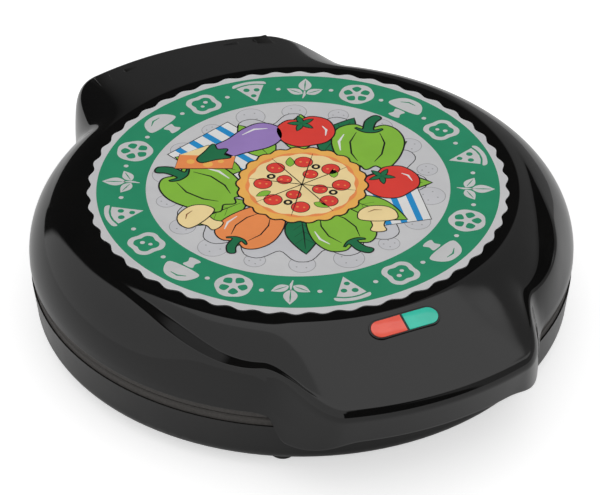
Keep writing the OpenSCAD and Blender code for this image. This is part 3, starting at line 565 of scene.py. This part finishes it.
def make_lid_skin(gloss):
    stations = lid_angles()
    rings = [station_line(a) for a, side in stations]
    count, rows = len(stations), len(rings[0][0])
    verts = []
    for row in range(rows):
        for (a, side), (r, z, shift) in zip(stations, rings):
            angle = math.radians(a)
            y = BODY_Y + shift[row] - r[row] * math.cos(angle)
            verts.append((side * r[row] * math.sin(angle), y, z[row]))
    faces = [tuple(range(count)), tuple(reversed(range((rows - 1) * count, rows * count)))]
    for row in range(rows - 1):
        for j in range(count):
            p, q = row * count, row * count + count
            faces.append((p + j, q + j, q + (j + 1) % count, p + (j + 1) % count))
    mesh = bpy.data.meshes.new("lid_skin")
    mesh.from_pydata(verts, [], faces)
    solid = bmesh.new()
    solid.from_mesh(mesh)
    bmesh.ops.recalc_face_normals(solid, faces=solid.faces)
    solid.to_mesh(mesh)
    solid.free()
    # The lamp window goes right through the skin
    cutter_mesh = slab([stadium(LAMP_L + LAMP_FIT, LAMP_W + LAMP_FIT)], 16 * MM)
    cutter_mesh.transform(at_lamps())
    cutter = bpy.data.objects.new("cutter", cutter_mesh)
    raw = bpy.data.objects.new("raw", mesh)
    for obj in (cutter, raw):
        bpy.context.scene.collection.objects.link(obj)
    cut = raw.modifiers.new("window", "BOOLEAN")
    cut.operation = "DIFFERENCE"
    cut.solver = "EXACT"
    cut.object = cutter
    mesh = baked(raw)
    bpy.data.objects.remove(cutter)
    smooth(mesh, 40)
    mesh.materials.clear()
    skin = piece("lid_skin", "lid", mesh, "housing", gloss)
    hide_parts("lid_shell")


def skin_height(a, r):
    """Height of the lid's outer surface, down to the skirt, at a distance from the centre."""
    k = np.linspace(0, SHOULDER_ROWS - 0.1, 400)
    line_r, line_z = lid_profile(k, a)
    return float(np.interp(r, line_r, line_z))


def hinge_eyes():
    """Four hinge eyes on webs that reach up to the tab's skin: (mesh, matrix) pairs."""
    web_top = skin_height(180 - 16, HINGE_Y) - 2 * MM
    bottom = np.linspace(-math.pi / 2, math.pi / 2, 25)
    outline = [(EYE_R * math.sin(t), -EYE_R * math.cos(t)) for t in bottom]
    outline += [(EYE_R, web_top - HINGE_Z), (-EYE_R, web_top + 1.5 * MM - HINGE_Z)]
    upright = Matrix(((0, 0, 1), (1, 0, 0), (0, 1, 0))).to_4x4()
    eyes = []
    for hinge_x in (-HINGE_X, HINGE_X):
        for side in (-1, 1):
            place = Matrix.Translation((hinge_x + side * (EYE_W + EYE_PLAY), BODY_Y + HINGE_Y, HINGE_Z))
            eyes.append((slab([outline, circle(EYE_BORE, count=32)], EYE_W, 0.4 * MM), place @ upright))
    return eyes


def screw_posts():
    """Four posts from the pad down to the upper heat shield: (mesh, matrix) pairs."""
    shield_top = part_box("upper_heat_shield")[1][2]
    post_h = PAD_Z - WALL / 2 - shield_top
    posts = []
    for corner in (45, 135, 225, 315):
        x = POST_AT * math.cos(math.radians(corner))
        y = POST_AT * math.sin(math.radians(corner))
        place = Matrix.Translation((x, BODY_Y + y, shield_top + post_h / 2))
        tube = slab([circle(POST_R, count=32), circle(POST_BORE, count=24)], post_h, 0.2 * MM)
        posts.append((tube, place))
    return posts


def add_liner(solid, middle, half):
    """The round wall that carries on under the grip or the tab, from side to side of it."""
    inner, outer = BODY_R - WALL + LINER_IN, BODY_R - LINER_IN
    low = SKIRT_Z + 0.3 * MM
    rows = []
    for a in np.linspace(-half, half, 61):
        angle = math.radians(middle + a)
        top = skin_height(abs(a) if middle == 0 else 180 - abs(a), BODY_R - 2 * LINER_IN) - 4 * LINER_IN
        section = ((inner, low), (outer, low), (outer, top - 1 * MM), (inner, top))
        rows.append([solid.verts.new((r * math.sin(angle), BODY_Y - r * math.cos(angle), z))
                     for r, z in section])
    for a, b in zip(rows, rows[1:]):
        for i in range(4):
            solid.faces.new((a[i], a[(i + 1) % 4], b[(i + 1) % 4], b[i]))
    solid.faces.new(rows[0])
    solid.faces.new(reversed(rows[-1]))


def make_lid_works(satin):
    """What the lid holds inside its skin: hinge eyes on webs, screw posts and the round liner."""
    works = joined(hinge_eyes() + screw_posts())
    solid = bmesh.new()
    solid.from_mesh(works)
    for middle, half in ((0, GRIP_ANGLE + GRIP_FLARE - 0.5), (180, TAB_ANGLE + TAB_FLARE - 1)):
        add_liner(solid, middle, half)
    bmesh.ops.recalc_face_normals(solid, faces=solid.faces)
    solid.to_mesh(works)
    solid.free()
    smooth(works, 35)
    works.materials.clear()
    piece("lid_works", "lid", works, "housing", satin)


# ---- Badge -----------------------------------------------------------------------------------------
BADGE_Y = (badge_low[1] + badge_high[1]) / 2
BADGE_R = (badge_high[0] - badge_low[0]) / 2
SCALLOPS = 50
SCALLOP_D = 2.2 * MM
SCALLOP_POINTS = 12                              # points of each scallop
PRINT_H = 0.34 * MM                              # height kept for the layers of print
RING_OUT, RING_IN = 122 * MM, 92.1 * MM
LAYER = 0.012 * MM


def scalloped():
    """The badge's edge, which dips in between its scallops."""
    line = []
    for i in range(SCALLOPS * SCALLOP_POINTS):
        angle = 2 * math.pi * i / (SCALLOPS * SCALLOP_POINTS)
        r = BADGE_R - SCALLOP_D / 2 * (1 - math.cos(SCALLOPS * angle))
        line.append((r * math.cos(angle), r * math.sin(angle)))
    return line


def make_badge_plate(silver):
    thick = badge_high[2] - badge_low[2] - PRINT_H
    mesh = slab([scalloped()], thick, 0.22 * MM)
    mesh.transform(Matrix.Translation((0, BADGE_Y, badge_low[2] + thick / 2)))
    smooth(mesh, 50)
    mesh.materials.clear()
    plate = piece("badge_plate", "lid", mesh, "badge", silver)
    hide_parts("badge_disc")


INKS = {
    "ring_green": (0.018, 0.300, 0.150),
    "silver": (0.80, 0.80, 0.80),
    "pale": (0.76, 0.76, 0.79),
    "grey": (0.46, 0.46, 0.47),
    "line": (0.012, 0.012, 0.013),
    "leaf": (0.265, 0.570, 0.048),
    "dark_leaf": (0.012, 0.190, 0.075),
    "crust": (0.98, 0.50, 0.100),
    "cheese": (1.00, 0.78, 0.38),
    "red": (0.84, 0.050, 0.035),
    "orange": (0.96, 0.30, 0.085),
    "brown": (0.25, 0.075, 0.018),
    "purple": (0.36, 0.23, 0.58),
    "blue": (0.010, 0.30, 0.68),
    "white": (0.85, 0.85, 0.84),
}


# Inks that let the metal show: how metallic they are, and their second shade's share of the first
METAL_INKS = {"silver": (0.25, 0.95), "pale": (0.2, 0.94), "grey": (0.2, 0.94)}


def ink_material(name, colour):
    if name in METAL_INKS:
        metallic, share = METAL_INKS[name]
        return finish_of("ink_" + name, colour, tuple(share * c for c in colour), 0.36, metallic,
                         patch=45, grain=1600, bump=0.000004, rough_spread=0.03)
    return finish_of("ink_" + name, colour, tuple(0.94 * c for c in colour), 0.38, 0.0,
                     patch=60, grain=1800, bump=0.000004, rough_spread=0.03, Specular_IOR_Level=0.25)


# Outlines below are in millimetres. A motif is a list of (outline, ink, layer) round its own middle.
def turned(points, x=0.0, y=0.0, angle=0.0, size=1.0, flip=False):
    c, s = math.cos(math.radians(angle)), math.sin(math.radians(angle))
    out = []
    for px, py in points:
        px, py = (-px if flip else px) * size, py * size
        out.append((x + c * px - s * py, y + s * px + c * py))
    return out[::-1] if flip else out


def area(points):
    return sum(a[0] * b[1] - b[0] * a[1] for a, b in zip(points, points[1:] + points[:1])) / 2


def grown(points, by):
    """The outline moved outwards by some millimetres."""
    sign = 1 if area(points) > 0 else -1
    out = []
    for before, here, after in zip(points[-1:] + points[:-1], points, points[1:] + points[:1]):
        dx, dy = after[0] - before[0], after[1] - before[1]
        size = math.hypot(dx, dy) or 1
        out.append((here[0] + sign * by * dy / size, here[1] - sign * by * dx / size))
    return out


def flowing(points, per=8):
    """A closed smooth line through a few points."""
    out = []
    n = len(points)
    for i in range(n):
        p0, p1, p2, p3 = (points[(i + j - 1) % n] for j in range(4))
        for step in range(per):
            t = step / per
            out.append(tuple(0.5 * (2 * b + (c - a) * t + (2 * a - 5 * b + 4 * c - d) * t * t
                                    + (3 * b - a - 3 * c + d) * t ** 3)
                             for a, b, c, d in zip(p0, p1, p2, p3)))
    return out


def leaf(length, width):
    """A pointed leaf along +x from its stalk."""
    count = 14
    upper = []
    lower = []
    for i in range(count + 1):
        t = i / count
        swell = width / 2 * math.sin(math.pi * t ** 0.8)
        upper.append((length * t, swell))
        lower.append((length * t, -swell))
    return lower + upper[-2:0:-1]


def stroke(points, width):
    """A line of some width that thins at its ends."""
    left, right = [], []
    for i, here in enumerate(points):
        before, after = points[max(i - 1, 0)], points[min(i + 1, len(points) - 1)]
        dx, dy = after[0] - before[0], after[1] - before[1]
        size = math.hypot(dx, dy) or 1
        half = width / 2 * (0.35 if i in (0, len(points) - 1) else 1)
        left.append((here[0] - dy / size * half, here[1] + dx / size * half))
        right.append((here[0] + dy / size * half, here[1] - dx / size * half))
    return right + left[::-1]


def lobed(radius, lobes, depth, count=60, start=0.0):
    """A circle with narrow notches between its lobes."""
    line = []
    for i in range(count):
        angle = 2 * math.pi * i / count
        r = radius * (1 - depth * abs(math.sin(lobes * (angle + start) / 2)) ** 3)
        line.append((r * math.cos(angle), r * math.sin(angle)))
    return line


OUTLINE = 0.75                                   # width of the black outline
RING_INK, RING_GAP = "silver", "ring_green"      # the ring's motifs, and the gaps inside them
RING_MOTIFS = 20
RING_MIDDLE = 107.2                              # radius that the ring's motifs stand on
RING_MOTIF_SIZE = 1.18
PALE_SLICES = 18
PALE_MIDDLE = 80.5                               # radius that the pale slices lie on
FOOD_SIZE = 1.2                                  # the group of food as a whole
FOOD_Y = 3
LEAVES = (                                       # (angle, distance from the middle, size, ink) of each leaf
    (8, 30, 1.1, "leaf"), (38, 30, 1.05, "dark_leaf"), (63, 28, 1.0, "leaf"), (95, 26, 1.0, "leaf"),
    (135, 30, 1.05, "leaf"), (160, 32, 1.05, "dark_leaf"), (188, 30, 1.1, "leaf"), (215, 30, 1.0, "leaf"),
    (250, 27, 1.0, "dark_leaf"), (275, 27, 1.0, "leaf"), (305, 28, 1.05, "leaf"), (335, 31, 1.1, "leaf"),
)


def inked(points, ink, layer=0, line=OUTLINE):
    """A filled shape with a black outline round it."""
    return [(grown(points, line), "line", layer), (points, ink, layer + 1)]


def placed(motif, x, y, angle=0.0, size=1.0, flip=False, tier=0):
    """A motif moved, turned and scaled, and laid some layers higher."""
    return [(turned(outline, x, y, angle, size, flip), ink, tier + layer) for outline, ink, layer in motif]


def leaf_motif(length, width, ink):
    body = leaf(length, width)
    shapes = inked(body, ink)
    shapes.append((stroke([(length * 0.08, 0), (length * 0.5, 0.3), (length * 0.88, 0)], 0.7), "line", 2))
    for share in (0.28, 0.45, 0.62):
        for side in (-1, 1):
            vein = [(length * share, 0), (length * (share + 0.13), side * width * 0.27)]
            shapes.append((stroke(vein, 0.5), "line", 2))
    return shapes


def pepper_motif(ink="leaf"):
    body = flowing([(0, 14), (7, 17), (14, 13), (16, 3), (13, -9), (8, -17), (3, -15), (0, -18),
                    (-4, -15), (-9, -17), (-14, -8), (-16, 4), (-13, 13), (-7, 17)])
    stalk = flowing([(-2, 13), (-2.6, 19), (-5, 23), (-2, 24.5), (1.6, 20), (2.6, 13.5),
                     (6, 14.5), (2, 11.5), (-3, 11.5), (-6, 14)])
    shapes = inked(body, ink) + inked(stalk, "dark_leaf", 2)
    shapes.append((stroke([(-5, 11), (-7.5, 3), (-6.5, -6), (-3.5, -12)], 0.8), "line", 2))
    shapes.append((stroke([(5.5, 11), (8, 3), (7, -6), (4, -12)], 0.8), "line", 2))
    shapes.append((stroke([(11, 9), (13, 3), (12, -4)], 1.3), "white", 2))
    return shapes


def tomato_motif():
    body = flowing([(0, 11), (7, 12), (14, 6), (14, -5), (8, -12),
                    (0, -13), (-8, -12), (-14, -5), (-14, 6), (-7, 12)])
    shapes = inked(body, "red")
    for angle in (18, 90, 162, 234, 306):
        shapes += placed(inked(leaf(24, 9), "dark_leaf", 2, 1.8), 0, 7.5, angle, 0.3)
    shapes.append((stroke([(9.5, 2), (10.5, -2), (8.5, -7)], 1.3), "white", 2))
    return shapes


def aubergine_motif():
    body = flowing([(-20, 0), (-14, 6), (-4, 7), (8, 10), (18, 9),
                    (23, 1), (19, -8), (9, -11), (-4, -8), (-14, -6)])
    cap = flowing([(-27, 2), (-20, 5), (-13, 8), (-14, 3), (-10, 0),
                   (-14, -3), (-13, -7), (-20, -4), (-27, -2)])
    shapes = inked(body, "purple") + inked(cap, "dark_leaf", 2)
    shapes.append((stroke([(4, 6), (12, 6.5), (18, 3)], 1.4), "white", 2))
    return shapes


def mushroom_motif():
    cap = flowing([(-12, 0), (-11, 7), (-5, 12), (5, 12), (11, 7), (12, 0),
                   (8, -2.4), (0, -3.2), (-8, -2.4)])
    stem = flowing([(-4, -2), (-3.2, -8), (-4.5, -13), (0, -14.5), (4.5, -13), (3.2, -8),
                    (4, -2), (0, -1)])
    shapes = inked(stem, "cheese") + inked(cap, "cheese", 2)
    shapes.append((stroke([(-6, 6), (-2, 8.5), (3, 8.3)], 0.9), "brown", 4))
    return shapes


def cheese_motif():
    side = [(-18, -8), (16, -12), (19, 0), (-14, 6)]
    top = [(-14, 6), (19, 0), (4, 14)]
    shapes = inked(side, "orange") + inked(top, "cheese")
    for x, y, r in ((-8, -2, 2.4), (2, -6, 3), (10, -4, 1.8), (4, 6, 2.2)):
        shapes.append((circle(r, x, y, 20), "crust", 2))
    return shapes


def pizza_motif(radius):
    shapes = inked(lobed(radius, 22, 0.05, 132), "crust", 0, 0.9)
    shapes.append((lobed(radius * 0.87, 14, 0.03, 98), "orange", 2))
    shapes.append((lobed(radius * 0.83, 14, 0.04, 98, 0.3), "cheese", 3))
    for i in range(8):
        # Eight slices of sausage near the edge, and four nearer the middle
        for r, turn, size in ((0.60, 12, 4.4), (0.30, 34, 3.6))[:2 - i % 2]:
            angle = math.radians(45 * i + turn)
            x, y = radius * r * math.cos(angle), radius * r * math.sin(angle)
            shapes += placed(inked(circle(size, count=24), "red", 4, 0.45), x, y)
            shapes.append((circle(0.7, x - 1.2, y + 1, 10), "orange", 6))
            shapes.append((circle(0.6, x + 1.4, y - 1.2, 10), "orange", 6))
    for i in range(8):
        angle = math.radians(45 * i + 35)
        x, y = radius * 0.52 * math.cos(angle), radius * 0.52 * math.sin(angle)
        if i % 2:
            shapes += placed(inked(leaf(8, 4), "leaf", 4, 0.35), x, y, 60 * i)
        else:
            shapes += [(circle(2.3, x, y, 20), "line", 5), (circle(1.0, x, y, 14), "cheese", 6)]
    # Four cuts across the pizza
    for i in range(4):
        angle = math.radians(45 * i + 3)
        x, y = radius * 0.84 * math.cos(angle), radius * 0.84 * math.sin(angle)
        shapes.append((stroke([(-x, -y), (-x / 2, -y / 2), (x / 2, y / 2), (x, y)], 0.55), "line", 7))
    return shapes


def napkin_motif():
    body = [(-22, -22), (22, -22), (22, 22), (-22, 22)]
    shapes = inked(body, "white")
    for i in (-15, -5, 5, 15):
        shapes.append(([(i - 2, -22), (i + 2, -22), (i + 2, 22), (i - 2, 22)], "blue", 2))
    return shapes


def slice_motif():
    """Ring motif: a wedge of pizza that points inwards."""
    wedge = [(0, -9.5), (7.6, 5.2), (4, 6.6), (0, 7.1), (-4, 6.6), (-7.6, 5.2)]
    crust = flowing([(-9, 6), (-8.6, 8.6), (-4, 10), (0, 10.4), (4, 10),
                     (8.6, 8.6), (9, 6), (4, 7.6), (0, 8), (-4, 7.6)], 4)
    shapes = [(wedge, RING_INK, 0), (crust, RING_INK, 0)]
    for x, y, r in ((-2.6, 2.6, 1.7), (2.8, 1.6, 1.6), (-0.2, -3.6, 1.5)):
        shapes.append((circle(r, x, y, 20), RING_GAP, 1))
    return shapes


def tomato_slice_motif():
    shapes = [(lobed(9.6, 5, 0.05, 60), RING_INK, 0)]
    for i in range(5):
        chamber = flowing([(2.6, -0.8), (5.4, -2.5), (7.3, 0), (5.4, 2.5), (2.6, 0.8)], 6)
        shapes.append((turned(chamber, angle=72 * i + 36), RING_GAP, 1))
    return shapes


def sprig_motif():
    shapes = []
    for angle, size, x, y in ((90, 1.0, 0, -2), (28, 0.82, 1, -5), (152, 0.82, -1, -5)):
        shapes.append((turned(leaf(12, 7), x, y, angle, size), RING_INK, 0))
        shapes.append((turned(stroke([(1.5, 0), (6, 0), (10, 0)], 0.8), x, y, angle, size), RING_GAP, 1))
    shapes.append((stroke([(0, -1), (0, -6), (-0.8, -9.5)], 1.5), RING_INK, 0))
    return shapes


def small_mushroom_motif():
    cap = flowing([(-9.5, -0.5), (-8.6, 5), (-4, 9), (4, 9), (8.6, 5), (9.5, -0.5), (0, -1.6)], 6)
    stem = flowing([(-2.9, -2.8), (-2.3, -6), (-3.4, -9), (0, -9.8), (3.4, -9), (2.3, -6), (2.9, -2.8)], 6)
    glint = stroke([(-5, 4), (-1, 6.2), (3.5, 5.8)], 1.0)
    return [(cap, RING_INK, 0), (stem, RING_INK, 0), (glint, RING_GAP, 1)]


def pepper_ring_motif():
    outer = lobed(9.6, 4, 0.16, 64, math.pi / 4)
    inner = lobed(6.6, 4, 0.22, 64, math.pi / 4)
    seeds = [(circle(1.3, 1.8, 1.2, 12), RING_INK, 2), (circle(1.1, -1.6, -1.4, 12), RING_INK, 2)]
    return [(outer, RING_INK, 0), (inner, RING_GAP, 1)] + seeds


def badge_shapes():
    """Every printed shape: (outline, ink, layer)."""
    shapes = []

    def food(motif, tier, x, y, angle=0.0, size=1.0, flip=False):
        x, y = FOOD_SIZE * x, FOOD_SIZE * y + FOOD_Y
        shapes.extend(placed(motif, x, y, angle, FOOD_SIZE * size, flip, tier))

    ring = [slice_motif(), sprig_motif(), tomato_slice_motif(), small_mushroom_motif(), pepper_ring_motif()]
    step = 360 / RING_MOTIFS
    for i in range(RING_MOTIFS):
        angle = step * (i + 0.5)
        x, y = RING_MIDDLE * math.sin(math.radians(angle)), RING_MIDDLE * math.cos(math.radians(angle))
        shapes += placed(ring[i % len(ring)], x, y, -angle, RING_MOTIF_SIZE, tier=1)
        between = math.radians(angle + step / 2)
        x, y = RING_MIDDLE * math.sin(between), RING_MIDDLE * math.cos(between)
        shapes.append((circle(1.5, x, y, 16), "silver", 1))
    # Pale slices round the edge of the silver field, and a scalloped paper under the food
    for i in range(PALE_SLICES):
        angle = math.radians(360 / PALE_SLICES * i + 7)
        size = 8.0 + 1.6 * math.sin(2.1 * i)
        x, y = PALE_MIDDLE * math.cos(angle), PALE_MIDDLE * math.sin(angle)
        shapes += [(circle(size, x, y), "grey", 0), (circle(size - 0.45, x, y), "pale", 1)]
        for j in range(4):
            turn = math.radians(90 * j + 31 * i)
            dot = circle(0.55, x + size / 2 * math.cos(turn), y + size / 2 * math.sin(turn), 8)
            shapes.append((dot, "grey", 2))
    paper = lobed(78, 16, 0.13, 192)
    shapes += [(grown(paper, 0.55), "line", 3), (paper, "pale", 4)]
    # The food
    food(napkin_motif(), 5, -22, 38, 20, 0.95)
    food(napkin_motif(), 5, 34, -36, -12, 0.8)
    for angle, r, size, ink in LEAVES:
        x, y = r * math.cos(math.radians(angle)), r * math.sin(math.radians(angle))
        food(leaf_motif(34, 17, ink), 8, x, y, angle, size)
    food(pepper_motif(), 11, -44, 16, 24, 1.18)
    food(pepper_motif(), 11, 47, 14, -28, 1.15, True)
    food(pepper_motif("orange"), 11, -36, -26, 122, 0.95)
    food(pepper_motif(), 11, 3, -45, 186, 1.0)
    food(aubergine_motif(), 15, -10, 44, 12, 1.0)
    food(tomato_motif(), 15, 24, 40, -8, 1.0)
    food(tomato_motif(), 15, 44, -20, 20, 0.95)
    food(cheese_motif(), 15, -34, 39, -18, 0.85)
    food(mushroom_motif(), 15, -56, -8, 28, 0.85)
    food(mushroom_motif(), 15, 24, -45, -24, 0.8)
    food(pizza_motif(33), 20, 2, -3, 6)
    return shapes


def make_badge_print():
    names = list(INKS)
    sheet = bmesh.new()
    base = badge_high[2] - PRINT_H + 0.01 * MM

    def face(points, ink, layer):
        z = base + layer * LAYER
        made = sheet.faces.new([sheet.verts.new((x, BADGE_Y + y, z)) for x, y in points])
        made.material_index = names.index(ink)
        made.normal_update()
        if made.normal.z < 0:
            made.normal_flip()

    steps = 240
    for i in range(steps):
        a, b = 2 * math.pi * i / steps, 2 * math.pi * (i + 1) / steps
        face([(r * math.cos(t), r * math.sin(t)) for r, t in
              ((RING_IN, a), (RING_OUT, a), (RING_OUT, b), (RING_IN, b))], "ring_green", 0)
    for points, ink, layer in badge_shapes():
        face([(x * MM, y * MM) for x, y in points], ink, layer)
    bmesh.ops.triangulate(sheet, faces=[f for f in sheet.faces if len(f.verts) > 4])
    mesh = bpy.data.meshes.new("badge_print")
    sheet.to_mesh(mesh)
    sheet.free()
    piece("badge_print", "lid", mesh, "badge", *[ink_material(name, colour) for name, colour in INKS.items()])


# ---- CAD nodes that stay ---------------------------------------------------------------------------
BEVELS = {
    "power_lens": 0.35 * MM, "ready_lens": 0.35 * MM, "lamp_bezel": 0.25 * MM,
    "terminal_block": 0.3 * MM, "lamp_holder": 0.3 * MM,
}


def dress_nodes(materials):
    for part in frame["record"]["subparts"]:
        obj = nodes[part["node"]]
        obj.data.materials.clear()
        obj.data.materials.append(materials[part["material_slot"]])
        obj.data.polygons.foreach_set("use_smooth", [True] * len(obj.data.polygons))
        weld = obj.modifiers.new("weld", "WELD")
        weld.merge_threshold = 0.001 * MM
        if part["node"] in BEVELS:
            bevel = obj.modifiers.new("bevel", "BEVEL")
            bevel.width = BEVELS[part["node"]]
            bevel.segments = 3
            bevel.limit_method = "ANGLE"
            bevel.angle_limit = math.radians(50)
        split = obj.modifiers.new("split", "EDGE_SPLIT")
        split.split_angle = math.radians(30)
    nodes["lamp_bezel"].data.materials[0] = materials["gloss"]


make_camera()
make_world()
make_floor()
finishes = make_materials()
dress_nodes(finishes)
make_lid_skin(finishes["gloss"])
make_lid_works(finishes["housing"])
make_badge_plate(finishes["badge"])
make_badge_print()

bpy.context.scene.view_settings.view_transform = "Standard"
